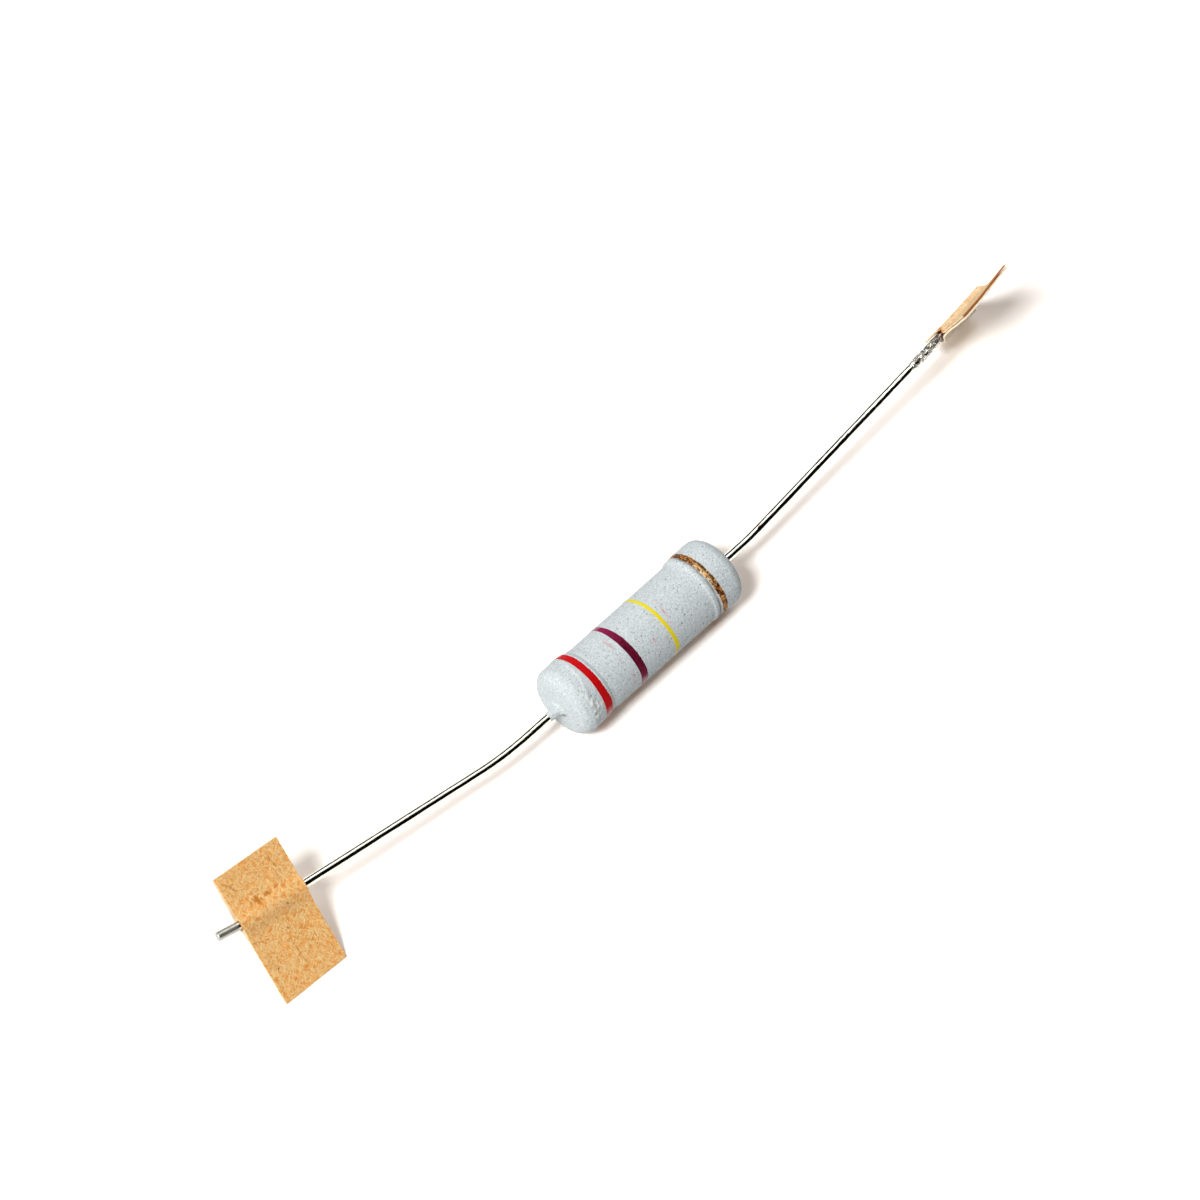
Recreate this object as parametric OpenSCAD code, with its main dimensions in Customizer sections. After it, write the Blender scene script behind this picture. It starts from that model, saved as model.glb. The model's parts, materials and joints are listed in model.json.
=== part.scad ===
// Axial film resistor, lying on a surface, with a scrap of its carrier tape on each lead.
// The origin is on that surface, under the middle of the body. +X runs along the body
// from the red band to the gold band, and +Z is up. Sizes are in millimetres.

/* [Core and film] */
// Diameter of the ceramic rod
core_d = 5.0; // [3:0.1:10]
// Length of the ceramic rod
core_l = 17.68; // [15.5:0.01:30]
// Chamfer at the ends of the rod
core_chamfer = 0.35; // [0.3:0.05:0.6]
// Film thickness, drawn far thicker than a real metal oxide film
film_t = 0.06; // [0.03:0.01:0.2]
// Turns of the spiral cut that trims the film to its value
kerf_turns = 8; // [2:1:9]
// Advance of the spiral cut in each turn
kerf_pitch = 1.05; // [0.6:0.05:1.2]
// Width of the spiral cut
kerf_w = 0.28; // [0.1:0.02:0.5]

/* [End caps] */
// Sheet thickness of the pressed caps
cap_wall = 0.25; // [0.1:0.05:0.4]
// Overall length of each cap
cap_l = 2.8; // [2.4:0.1:3.4]
// Outer radius of the pressed corner
cap_corner = 0.5; // [0.45:0.05:0.8]

/* [Coating] */
// Lacquer thickness over the film
coat_film = 0.39; // [0.2:0.01:0.45]
// Lacquer thickness over the cap walls
coat_cap = 0.315; // [0.25:0.005:0.6]
// Lacquer thickness over the cap faces
coat_face = 0.4; // [0.36:0.02:0.8]
// Radius of the coating's rounded ends
coat_corner = 1.05; // [0.6:0.05:1.3]
// Slope of the domed end faces, in degrees
face_slope = 5; // [1:1:8]
// How much the bulge over each cap falls away towards the waist
bulge_fall = 0.08; // [0.08:0.01:0.14]
// Length of the step down from the bulge at the red end
red_step = 0.4; // [0.2:0.05:0.8]
// Length of the flare up to the bulge at the gold end
gold_flare = 0.55; // [0.4:0.05:1.4]
// Depth of the crease at the top of that flare
crease_depth = 0.05; // [0.02:0.01:0.08]
// Length of the collar of lacquer that ran out along the lead at the red end
collar_l = 1.2; // [0.8:0.05:2.5]
// Thickness of that collar
collar_t = 0.06; // [0.03:0.01:0.15]
// Fillet between the collar and the end face
collar_fillet = 0.45; // [0.1:0.05:0.5]

/* [Colour bands] */
// Paint thickness
band_t = 0.02; // [0.01:0.005:0.04]
// Middle of the red band, out from the top of the step
red_from_step = 0.48; // [0.4:0.01:1.2]
// Width of the red band
red_w = 0.65; // [0.3:0.05:0.7]
// Middle of the violet band, from the middle of the body
violet_x = -2.7; // [-4:0.05:-2]
// Width of the violet band
violet_w = 0.64; // [0.3:0.02:0.8]
// Middle of the yellow band, from the middle of the body
yellow_x = 1.1; // [0:0.05:2]
// Width of the yellow band
yellow_w = 0.36; // [0.3:0.02:0.8]
// Middle of the gold band, out from the crease
gold_from_crease = 0.38; // [0.36:0.01:1.2]
// Width of the gold band
gold_w = 0.58; // [0.3:0.02:0.7]

/* [Leads] */
// Diameter of both leads
lead_d = 0.78; // [0.5:0.02:1]
// Diameter of the weld bead that joins a lead to its cap
weld_d = 1.5; // [1.2:0.1:2.4]
// Thickness of the weld bead at its rim
weld_t = 0.02; // [0.01:0.01:0.05]
// Height of the weld bead's cone
weld_cone = 0.3; // [0.1:0.05:0.5]
// Straight length from the body to the bend: red side, gold side
bend_start = [3.65, 2.45]; // [1.5:0.05:10]
// Bend radius: red side, gold side
bend_r = [35, 25]; // [5:1:60]
// Bend angle: red side, gold side
bend_angle = [8.7, 5.4]; // [2:0.1:10]
// Rise of the plane of the bend above the surface: red side, gold side
bend_lift = [27, 57]; // [20:1:80]
// Straight length from the bend to the tape: red side, gold side
run_to_tape = [17.3, 23.5]; // [12:0.1:30]
// Bare end beyond the tape: red side, gold side
tip_l = [1.6, 0.25]; // [0.2:0.05:5]
// Kink of the red side's bare end, in degrees
tip_kink = 5; // [2:1:12]
// Radius of that kink
tip_kink_r = 4; // [3:1:20]

/* [Carrier tape] */
// Width of the kraft tape, along the lead
tape_w = 6.2; // [5:0.1:8]
// Thickness of the kraft layer
kraft_t = 0.14; // [0.08:0.02:0.2]
// Thickness of the cream backing
backing_t = 0.16; // [0.08:0.02:0.2]
// How far the backing shows past the kraft layer's outer edge
backing_peek = 0.18; // [0.02:0.02:0.4]
// Half width of the ridge that the lead raises in the tape
ridge_w = 0.62; // [0.6:0.02:1.2]
// Lean of the tape, up from the +Y side of the surface: red side, gold side
tape_tilt = [42, 114]; // [35:1:120]
// Tape left above the lead: red side, gold side
tape_above = [4.35, 6.35]; // [3:0.05:9]
// How far each tape was cut out of square with its lead, in degrees: red side, gold side
tape_skew = [-3, 0]; // [-6:0.5:6]
// Tape left below the lead at the torn inner corner on the gold side
tape_torn = 3.0; // [1.5:0.1:5]

/* [Hidden] */

red = -1;              // side of the red band, along -X
gold = 1;              // side of the gold band, along +X
waist = 0;             // between the two
seat = 0.01;           // clearance between a piece and what it seats on
paint_gap = 0.003;     // clearance under a painted band
film_margin = 0.15;    // bare rod between the chamfer and the film
film_facets = 36;      // flat facets round the film
arc_steps = 10;        // straight pieces in a rounded corner of an outline
blend_steps = 8;       // straight pieces in a blend between two diameters
ridge_steps = 12;      // straight pieces on each flank of the tape's ridge
ridge_reach = 2.6;     // where the ridge's flank ends, in half widths
band_steps = 4;        // straight pieces across a painted band
bend_swell = 0.002;    // a bend is this much thicker than straight wire, for a clean joint
bend_lap = 0.05;       // how far the straight wire runs on inside a bend
$fn = 64;

// the layers from the middle outwards, as radii
lead_r = lead_d / 2;
weld_r = weld_d / 2;
core_r = core_d / 2;
film_in_r = (core_r + seat) / cos(180 / film_facets);
film_out_r = film_in_r + film_t;
cap_in_r = film_out_r + seat;
cap_out_r = cap_in_r + cap_wall;
waist_r = film_out_r + seat + coat_film;
bulge_r = cap_out_r + seat + coat_cap;
axis_h = bulge_r;      // the bulges rest on the surface

// places along the body, measured from its middle
film_x = core_l / 2 - core_chamfer - film_margin;
cap_base_x = core_l / 2 + seat;
cap_face_x = cap_base_x + cap_wall;
cap_open_x = cap_face_x - cap_l;
lead_root_x = cap_face_x + seat;
body_x = cap_face_x + coat_face;

// the domed end face rises from the rounded corner to the rim of the collar
collar_r = lead_r + seat + collar_t;
face_in_r = collar_r + collar_fillet;
corner_c_r = bulge_r - coat_corner;
dome = (corner_c_r + coat_corner * sin(face_slope) - face_in_r) * tan(face_slope);
corner_x = body_x - dome - coat_corner * cos(face_slope);
red_shoulder_x = cap_open_x;
gold_shoulder_x = cap_open_x - seat;
crease_w = 2 * crease_depth;

function pick(side, pair) = side == red ? pair[0] : pair[1];
function flipped(points) = [for (p = points) [p[0], -p[1]]];
function reversed(points) = [for (i = [len(points) - 1:-1:0]) points[i]];

// Outlines are lists of [radius, x]. Each of these leaves out the point it starts at.
function arc(c_r, c_x, r, from, to, first = 1) =
    [for (i = [first:arc_steps]) let (a = from + (to - from) * i / arc_steps)
        [c_r + r * cos(a), c_x + r * sin(a)]];
function ease(t) = t * t * (3 - 2 * t);
function blend(r0, x0, r1, x1) =
    [for (i = [1:blend_steps]) let (t = i / blend_steps)
        [r0 + (r1 - r0) * ease(t), x0 + (x1 - x0) * t]];

// Radius of the coating where it bulges over a cap, at x from the middle of the body
function bulge_at(x, shoulder_x) =
    bulge_r - bulge_fall * pow((corner_x - x) / (corner_x - shoulder_x), 2);
function bulge_line(shoulder_x) =
    [for (i = [0:blend_steps - 1])
        let (x = shoulder_x + (corner_x - shoulder_x) * i / blend_steps)
        [bulge_at(x, shoulder_x), x]];

// The coating's outside, from the collar's tip at the red end to the middle
red_outside = concat(
    [[collar_r - collar_t / 2, -body_x - collar_l], [collar_r, -body_x - collar_l + collar_t]],
    arc(face_in_r, -body_x - collar_fillet, collar_fillet, 180, 90, first = 0),
    arc(corner_c_r, -corner_x, coat_corner, face_slope - 90, 0, first = 0),
    reversed(flipped(bulge_line(red_shoulder_x))),
    blend(bulge_r - bulge_fall, -red_shoulder_x, waist_r, -red_shoulder_x + red_step));

// The coating's outside, from the middle to the gold end's face
flare_top_x = gold_shoulder_x - crease_w;
gold_outside = concat(
    [[waist_r, flare_top_x - gold_flare]],
    blend(waist_r, flare_top_x - gold_flare, bulge_r - bulge_fall, flare_top_x),
    [[bulge_r - bulge_fall - crease_depth, flare_top_x + crease_w / 2]],
    bulge_line(gold_shoulder_x),
    arc(corner_c_r, corner_x, coat_corner, 0, 90 - face_slope, first = 0));

// Half of the coating's inside, over the film, a cap, the weld bead and the lead
cavity = concat(
    [[film_out_r + seat, cap_open_x - seat], [cap_out_r + seat, cap_open_x - seat]],
    arc(cap_out_r - cap_corner, cap_face_x - cap_corner, cap_corner + seat, 0, 90, first = 0),
    [[weld_r + seat, cap_face_x + seat], [weld_r + seat, lead_root_x + weld_t + seat],
        [lead_r + seat, lead_root_x + weld_t + weld_cone + seat]]);

// Places a shape drawn along +Z on the body's axis, pointing out to one side
module to_side(side = gold) {
    translate([0, 0, axis_h]) rotate([0, 90 * side, 0]) children();
}

// The frame at the start of a side's bend, which turns towards local X
module at_bend(side) {
    to_side(side) rotate([0, 0, 90 + side * pick(side, bend_lift)])
        translate([0, 0, body_x + pick(side, bend_start)]) children();
}

// The frame at the end of a bend
module past_bend(radius, angle) {
    translate([radius * (1 - cos(angle)), 0, radius * sin(angle)])
        rotate([0, angle, 0]) children();
}

// The frame at the tape's inner edge, with +Z along the lead and local X turned
// to the given lean above the +Y side of the surface
module at_tape(side, lean) {
    at_bend(side) past_bend(pick(side, bend_r), pick(side, bend_angle))
        translate([0, 0, pick(side, run_to_tape)])
        rotate([0, 0, side * (lean - pick(side, bend_lift))]) children();
}

// A bent piece of wire that starts along +Z and turns towards local X
module bent_wire(radius, angle) {
    translate([radius, 0, 0]) rotate([90, 0, 0]) rotate([0, 0, 180 - angle])
        rotate_extrude(angle = angle) translate([radius, 0]) circle(r = lead_r + bend_swell);
}

// A straight piece of wire that starts inside the bend behind it
module wire_after_bend(length) {
    translate([0, 0, -bend_lap]) cylinder(h = length + bend_lap, r = lead_r);
}

// A pressed cup that closes the end of the rod
module end_cap(side) {
    inner = cap_corner - cap_wall;
    to_side(side) rotate_extrude()
        polygon(concat(
            [[0, cap_base_x]],
            reversed(arc(cap_in_r - inner, cap_base_x - inner, inner, 0, 90, first = 0)),
            [[cap_in_r, cap_open_x], [cap_out_r, cap_open_x]],
            arc(cap_out_r - cap_corner, cap_face_x - cap_corner, cap_corner, 0, 90, first = 0),
            [[0, cap_face_x]]));
}

// Weld bead, straight root, bend and straight run of a lead. The run ends a given length
// beyond the tape's outer edge.
module lead(side, beyond) {
    root_l = body_x + pick(side, bend_start) - lead_root_x + bend_lap;
    run_l = pick(side, run_to_tape) + tape_w + backing_peek + beyond;
    to_side(side) translate([0, 0, lead_root_x]) {
        rotate_extrude()
            polygon([[0, 0], [weld_r, 0], [weld_r, weld_t], [lead_r, weld_t + weld_cone],
                [0, weld_t + weld_cone]]);
        cylinder(h = root_l, r = lead_r);
    }
    at_bend(side) {
        bent_wire(pick(side, bend_r), pick(side, bend_angle));
        past_bend(pick(side, bend_r), pick(side, bend_angle)) wire_after_bend(run_l);
    }
}

// A painted band on the waist, or on the bulge of one side
module band(side, x, w) {
    shoulder_x = side == red ? red_shoulder_x : gold_shoulder_x;
    function under(x) = (side == waist ? waist_r : bulge_at(abs(x), shoulder_x)) + paint_gap;
    stations = [for (i = [0:band_steps]) x - w / 2 + w * i / band_steps];
    to_side() rotate_extrude()
        polygon(concat([for (s = stations) [under(s), s]],
            reversed([for (s = stations) [under(s) + band_t, s]])));
}

// Height of the straight run's middle above the surface, s beyond the bend
function run_height(side, s) = let (b = pick(side, bend_angle))
    axis_h + (pick(side, bend_r) * (1 - cos(b)) + s * sin(b)) * sin(pick(side, bend_lift));

// How steeply a scrap rises: [up from the lead, through its thickness, along its edges]
function tape_rise(side) = let (lift = pick(side, bend_lift), b = pick(side, bend_angle),
        turn = side * (pick(side, tape_tilt) - lift), skew = pick(side, tape_skew),
        up = cos(turn) * cos(b) * sin(lift) + side * sin(turn) * cos(lift),
        along = sin(b) * sin(lift))
    [cos(skew) * up - sin(skew) * along,
        side * cos(turn) * cos(lift) - sin(turn) * cos(b) * sin(lift),
        sin(skew) * up + cos(skew) * along];

// Length from the lead down to the surface, z beyond the scrap's inner edge
function tape_to_surface(side, z) = let (rise = tape_rise(side), middle = tape_w / 2)
    (run_height(side, pick(side, run_to_tape) + middle) + (z - middle) * rise[2]
        + (seat / 2 + backing_t) * rise[1]) / rise[0];

// Tape left below the lead, z beyond its inner edge. On the red side the whole low edge
// lies on the surface. On the gold side its outer corner does, and the inner one is torn.
function tape_below(side, z) = side == red ? tape_to_surface(side, z)
    : tape_torn + (tape_to_surface(side, tape_w + backing_peek) - tape_torn)
        * z / (tape_w + backing_peek);

// One layer of a tape scrap, of thickness t on local +Y (1) or -Y (-1) of the lead, and
// w wide along it. The lead lies between the layers and raises a ridge in each. The
// outline is cut out of square with the lead, about the middle of the scrap.
module tape_layer(side, y_side, t, w) {
    function ridge(x) = seat / 2 + (lead_r + seat / 2) * exp(-pow(x / ridge_w, 2));
    above = pick(side, tape_above);
    below = [tape_below(side, 0), tape_below(side, w)];
    reach = max(concat([above], below)) + w / 2;
    flank = ridge_reach * ridge_w;
    xs = concat([-reach], [for (i = [-ridge_steps:ridge_steps]) flank * i / ridge_steps],
        [reach]);
    section = concat([for (x = xs) [x, y_side * ridge(x)]],
        reversed([for (x = xs) [x, y_side * (ridge(x) + t)]]));
    at_tape(side, pick(side, tape_tilt)) translate([0, 0, tape_w / 2]) intersection() {
        linear_extrude(2 * (w + reach), center = true) polygon(section);
        rotate([90, pick(side, tape_skew), 0]) translate([0, -tape_w / 2, 0])
            linear_extrude(4 * (lead_r + t), center = true)
                polygon([[-below[0], 0], [above, 0], [above, w], [-below[1], w]]);
    }
}

module ceramic_core() {
    half = core_l / 2;
    color("ivory") to_side() rotate_extrude()
        polygon([[0, -half], [core_r - core_chamfer, -half], [core_r, core_chamfer - half],
            [core_r, half - core_chamfer], [core_r - core_chamfer, half], [0, half]]);
}

// The film is a tube with a spiral cut. It is built line by line round the rod. A line
// carries the edges of the film in order: the red end, both sides of each turn of the cut,
// and the gold end. The turns shift by one pitch in a full circle, so the line at 0 degrees
// carries one turn more than the others, and the cut starts and ends on it.
module resistive_film() {
    n = film_facets;
    turns = kerf_turns;
    start_x = -turns * kerf_pitch / 2;
    function kerf_x(turn, line) = start_x + kerf_pitch * (turn + line / n);
    function line_edges(line, count) = concat([-film_x],
        [for (turn = [0:count - 1]) each [kerf_x(turn, line) - kerf_w / 2,
            kerf_x(turn, line) + kerf_w / 2]], [film_x]);
    edges = [for (line = [0:n - 1]) line_edges(line, line == 0 ? turns + 1 : turns)];
    // each edge is two points, inside and outside
    points = [for (line = [0:n - 1], x = edges[line], r = [film_in_r, film_out_r])
        [r * cos(360 * line / n), r * sin(360 * line / n), x]];
    function in(line, edge) = 2 * ((line == 0 ? 0 : 2 + line * (2 * turns + 2)) + edge);
    function out(line, edge) = in(line, edge) + 1;

    // the edges of the m-th stretch of film on the left and right lines of a column
    function left(column, m) = column == 0 && m == turns
        ? [2 * m, 2 * m + 1, 2 * m + 2, 2 * m + 3] : [2 * m, 2 * m + 1];
    function right(column, m) = column < n - 1 ? [2 * m, 2 * m + 1]
        : m == 0 ? [0, 1, 2, 3] : [2 * m + 2, 2 * m + 3];
    function fan(ring) = [for (i = [1:len(ring) - 2]) [ring[0], ring[i], ring[i + 1]]];
    // outer ring of a stretch, clockwise from outside, from a corner of its shorter line
    function stretch(l, r) = len(l) > len(r) ? concat([r[0]], l, [r[1]])
        : concat([l[1]], reversed(r), [l[0]]);
    faces = [for (column = [0:n - 1], m = [0:turns])
        let (next = (column + 1) % n, a = left(column, m), b = right(column, m),
            a1 = a[len(a) - 1], b1 = b[len(b) - 1])
        each concat(
            fan(stretch([for (e = a) out(column, e)], [for (e = b) out(next, e)])),
            [for (t = fan(stretch([for (e = a) in(column, e)], [for (e = b) in(next, e)])))
                reversed(t)],
            fan([out(column, a[0]), out(next, b[0]), in(next, b[0]), in(column, a[0])]),
            fan([out(next, b1), out(column, a1), in(column, a1), in(next, b1)]))];
    // the square ends of the cut
    cut_ends = [[out(0, 1), out(0, 2), in(0, 2), in(0, 1)],
        [out(0, 2 * turns + 2), out(0, 2 * turns + 1), in(0, 2 * turns + 1),
            in(0, 2 * turns + 2)]];
    color("dimgray") to_side() polyhedron(points, concat(faces, cut_ends));
}

module end_cap_red_side() {
    color("silver") end_cap(red);
}

module end_cap_gold_side() {
    color("silver") end_cap(gold);
}

module lead_red_side() {
    color("gainsboro") {
        lead(red, bend_lap);
        at_tape(red, 0) translate([0, 0, tape_w + backing_peek]) {
            bent_wire(tip_kink_r, tip_kink);
            past_bend(tip_kink_r, tip_kink) wire_after_bend(tip_l[0]);
        }
    }
}

module lead_gold_side() {
    color("gainsboro") lead(gold, tip_l[1]);
}

module coating() {
    color("lightsteelblue") to_side() rotate_extrude()
        polygon(concat(red_outside, gold_outside, [[lead_r + seat, body_x]],
            reversed(cavity), flipped(cavity), [[lead_r + seat, -body_x - collar_l]]));
}

module band_red() {
    color("firebrick") band(red, -red_shoulder_x - red_from_step, red_w);
}

module band_violet() {
    color("purple") band(waist, violet_x, violet_w);
}

module band_yellow() {
    color("gold") band(waist, yellow_x, yellow_w);
}

module band_gold() {
    color("peru") band(gold, gold_shoulder_x + gold_from_crease, gold_w);
}

module kraft_tape_red_side() {
    color("burlywood") tape_layer(red, -1, kraft_t, tape_w);
}

module backing_tape_red_side() {
    color("cornsilk") tape_layer(red, 1, backing_t, tape_w + backing_peek);
}

module kraft_tape_gold_side() {
    color("burlywood") tape_layer(gold, -1, kraft_t, tape_w);
}

module backing_tape_gold_side() {
    color("cornsilk") tape_layer(gold, 1, backing_t, tape_w + backing_peek);
}

ceramic_core();
resistive_film();
end_cap_red_side();
end_cap_gold_side();
lead_red_side();
lead_gold_side();
coating();
band_red();
band_violet();
band_yellow();
band_gold();
kraft_tape_red_side();
backing_tape_red_side();
kraft_tape_gold_side();
backing_tape_gold_side();
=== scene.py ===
import json
import math
import bmesh
import bpy
from mathutils import Matrix, Vector
from mathutils.noise import noise


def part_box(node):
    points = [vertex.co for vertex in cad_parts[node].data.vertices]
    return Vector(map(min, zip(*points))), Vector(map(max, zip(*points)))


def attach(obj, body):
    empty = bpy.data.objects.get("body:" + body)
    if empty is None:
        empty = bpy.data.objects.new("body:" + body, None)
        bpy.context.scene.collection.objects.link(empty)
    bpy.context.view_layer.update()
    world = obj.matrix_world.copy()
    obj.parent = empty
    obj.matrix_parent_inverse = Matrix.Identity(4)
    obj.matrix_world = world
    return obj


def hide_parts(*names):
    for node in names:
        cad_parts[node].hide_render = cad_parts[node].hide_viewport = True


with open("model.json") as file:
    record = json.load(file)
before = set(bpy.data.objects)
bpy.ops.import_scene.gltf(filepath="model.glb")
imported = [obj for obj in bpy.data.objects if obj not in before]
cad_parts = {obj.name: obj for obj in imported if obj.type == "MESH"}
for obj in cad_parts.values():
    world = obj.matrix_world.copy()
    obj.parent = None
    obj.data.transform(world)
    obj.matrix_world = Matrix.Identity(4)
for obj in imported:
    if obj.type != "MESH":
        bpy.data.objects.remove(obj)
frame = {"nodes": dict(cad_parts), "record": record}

mm = 0.001
scene = bpy.context.scene
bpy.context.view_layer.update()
redSide, goldSide = -1, 1
sideNames = {redSide: "red", goldSide: "gold"}
print("frame loaded:", len(frame["nodes"]), "nodes")


# sizes read from the frame, in millimetres
def boxOf(node):
    low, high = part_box(node)
    return low / mm, high / mm


bandHeight = 0.023  # how far a band's outside stands off the lacquer
coatLow, coatHigh = boxOf("coating")
axisHeight = (coatLow.z + coatHigh.z) / 2
bulgeRadius = (coatHigh.y - coatLow.y) / 2
bodyEnd, collarEnd = coatHigh.x, coatLow.x
capLow, capHigh = boxOf("end_cap_gold_side")
capMouth, capFace, capRadius = capLow.x, capHigh.x, capHigh.y
filmRadius = boxOf("resistive_film")[1].y
waistRadius = boxOf("band_yellow")[1].y - bandHeight
mounts = {mount["name"]: mount for mount in frame["record"]["mounts"]}
wireRadius = mounts["lead_tip_red_side"]["dims"]["r_mm"]


def bodyPoint(x, angle, radius):
    # angle in degrees from straight up towards +Y
    turn = math.radians(angle)
    return Vector((x, radius * math.sin(turn), axisHeight + radius * math.cos(turn)))


def aroundBody(place):
    # radius and angle of a point on the body
    rise = place.z - axisHeight
    return math.hypot(place.y, rise), math.degrees(math.atan2(place.y, rise))


def wrapped(angle):
    return (angle + 180) % 360 - 180


def follow(table, angle):
    # reads a table of (angle, values...) that runs round the body, with soft corners
    rows = [(table[-1][0] - 360, *table[-1][1:]), *table, (table[0][0] + 360, *table[0][1:])]
    total = [0.0] * (len(table[0]) - 1)
    for offset, weight in ((-8, 0.25), (0, 0.5), (8, 0.25)):
        at = wrapped(angle + offset)
        low, high = next(pair for pair in zip(rows, rows[1:]) if pair[0][0] <= at <= pair[1][0])
        share = (at - low[0]) / (high[0] - low[0])
        total = [t + weight * (a + (b - a) * share) for t, a, b in zip(total, low[1:], high[1:])]
    return total


def smooth(value, low, high):
    share = min(max((value - low) / (high - low), 0.0), 1.0)
    return share * share * (3 - 2 * share)


# shader helpers
def addNode(tree, kind, inputs=None, **settings):
    made = tree.nodes.new("ShaderNode" + kind)
    for name, value in settings.items():
        setattr(made, name, value)
    for key, value in (inputs or {}).items():
        if isinstance(value, bpy.types.NodeSocket):
            tree.links.new(value, made.inputs[key])
        else:
            made.inputs[key].default_value = value
    return made


def calc(tree, operation, a, b=0.0, clamp=False):
    return addNode(tree, "Math", {0: a, 1: b}, operation=operation, use_clamp=clamp).outputs[0]


def times(tree, a, b, clamp=False):
    return calc(tree, "MULTIPLY", a, b, clamp)


def plus(tree, a, b):
    return calc(tree, "ADD", a, b)


def shifted(tree, pattern, middle, amount):
    # a pattern about its own middle, to shift an edge to both sides
    return times(tree, calc(tree, "SUBTRACT", pattern, middle), amount)


def calcVector(tree, operation, a, b=(0, 0, 0)):
    return addNode(tree, "VectorMath", {0: a, 1: b}, operation=operation).outputs


def mixColor(tree, factor, a, b):
    return addNode(tree, "Mix", {0: factor, 6: a, 7: b}, data_type="RGBA").outputs[2]


def tinted(tree, color, mask, amount, tint):
    return mixColor(tree, times(tree, mask, amount), color, tint)


def ramp(tree, value, low, high, toLow=0.0, toHigh=1.0):
    return addNode(tree, "MapRange", {0: value, 1: low, 2: high, 3: toLow, 4: toHigh}).outputs[0]


def grain(tree, place, scale, detail=3.0, rough=0.55, distortion=0.0):
    made = addNode(tree, "TexNoise", {"Vector": place, "Scale": scale, "Detail": detail,
                                      "Roughness": rough, "Distortion": distortion})
    return made.outputs["Fac"]


def scattered(tree, place, scale):
    # cells with their distance and three random values each
    cells = addNode(tree, "TexVoronoi", {"Vector": place, "Scale": scale}).outputs
    return cells["Distance"], addNode(tree, "SeparateColor", {0: cells["Color"]}).outputs


def drawnOut(tree, place, size, turn=(0, 0, 0)):
    # a pattern of 1 becomes this long, wide and high, once it is turned
    made = addNode(tree, "Mapping", {"Vector": place, "Rotation": turn, "Scale": size},
                   vector_type="TEXTURE")
    return made.outputs["Vector"]


def placeInMm(tree):
    # object coordinates, so that a scale of 1 is a pattern of 1 mm
    coords = addNode(tree, "TexCoord").outputs["Object"]
    return calcVector(tree, "MULTIPLY", coords, (1 / mm, 1 / mm, 1 / mm))[0]


def sheetPlace(tree):
    # the tape's own UV map: along the lead and across the tape, in millimetres
    return addNode(tree, "UVMap", uv_map="sheet").outputs["UV"]


def partsOf(tree, place):
    return addNode(tree, "SeparateXYZ", {0: place}).outputs


def bodyAngle(tree, place):
    parts = partsOf(tree, place)
    rise = calc(tree, "SUBTRACT", parts["Z"], axisHeight)
    return times(tree, calc(tree, "ARCTAN2", parts["Y"], rise), 180 / math.pi)


def newMaterial(name):
    material = bpy.data.materials.new(name)
    material.use_nodes = True
    material.node_tree.nodes.clear()
    return material, material.node_tree


def finishMaterial(material, color, roughness, height=None, bump=(0.0, 1.0), **plain):
    # bump is its height in millimetres and its strength
    tree = material.node_tree
    inputs = {"Base Color": color, "Roughness": roughness}
    inputs.update({name.replace("_", " "): value for name, value in plain.items()})
    shader = addNode(tree, "BsdfPrincipled", inputs)
    if height is not None:
        relief = addNode(tree, "Bump", {"Height": height, "Distance": bump[0] * mm,
                                        "Strength": bump[1]})
        tree.links.new(relief.outputs["Normal"], shader.inputs["Normal"])
    addNode(tree, "OutputMaterial", {"Surface": shader.outputs[0]})
    return material


vectorSocket, colorSocket, floatSocket = "NodeSocketVector", "NodeSocketColor", "NodeSocketFloat"
surfaceOutputs = {"Color": colorSocket, "Roughness": floatSocket, "Height": floatSocket}


def newGroup(name, inputs, outputs):
    # an input given as a number gets a float socket with that value
    group = bpy.data.node_groups.new(name, "ShaderNodeTree")
    for label, kind in inputs.items():
        isNumber = isinstance(kind, float)
        socket = group.interface.new_socket(label, in_out="INPUT",
                                            socket_type=floatSocket if isNumber else kind)
        if isNumber:
            socket.default_value = kind
    for label, kind in outputs.items():
        group.interface.new_socket(label, in_out="OUTPUT", socket_type=kind)
    return group, group.nodes.new("NodeGroupInput").outputs


def closeGroup(group, made):
    out = group.nodes.new("NodeGroupOutput").inputs
    for name, value in made.items():
        group.links.new(value, out[name])
    return group


def useGroup(tree, group, inputs):
    return addNode(tree, "Group", inputs, node_tree=group).outputs


# shared shader groups
def makeMark():
    # a smear, scratch or spot: a rounded stroke between two points, with ragged edges
    group, given = newGroup(
        "mark", {"Place": vectorSocket, "From": vectorSocket, "To": vectorSocket, "Width": 0.1,
                 "Ragged": 0.0, "Soft": 0.5}, {"Mask": floatSocket})
    away = calcVector(group, "SUBTRACT", given["Place"], given["From"])[0]
    stroke = calcVector(group, "SUBTRACT", given["To"], given["From"])[0]
    share = calc(group, "DIVIDE", calcVector(group, "DOT_PRODUCT", away, stroke)["Value"],
                 calcVector(group, "DOT_PRODUCT", stroke, stroke)["Value"], clamp=True)
    nearest = addNode(group, "VectorMath", {0: stroke, "Scale": share}, operation="SCALE")
    reach = calcVector(group, "LENGTH", calcVector(group, "SUBTRACT", away, nearest.outputs[0])[0])
    reach = plus(group, reach["Value"], given["Ragged"])
    inner = times(group, given["Width"], given["Soft"])
    return closeGroup(group, {"Mask": ramp(group, reach, given["Width"], inner)})


lacquerLook = {
    "mottle": (0.75, 0.745, 0.68, 1),
    "dust": (0.42, 0.46, 0.47, 1),
    # scale, radius, share and strength of each layer of specks
    "specks": [(6.4, 0.46, 0.95, 0.7), (3.4, 0.36, 0.6, 0.9)],
}


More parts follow.
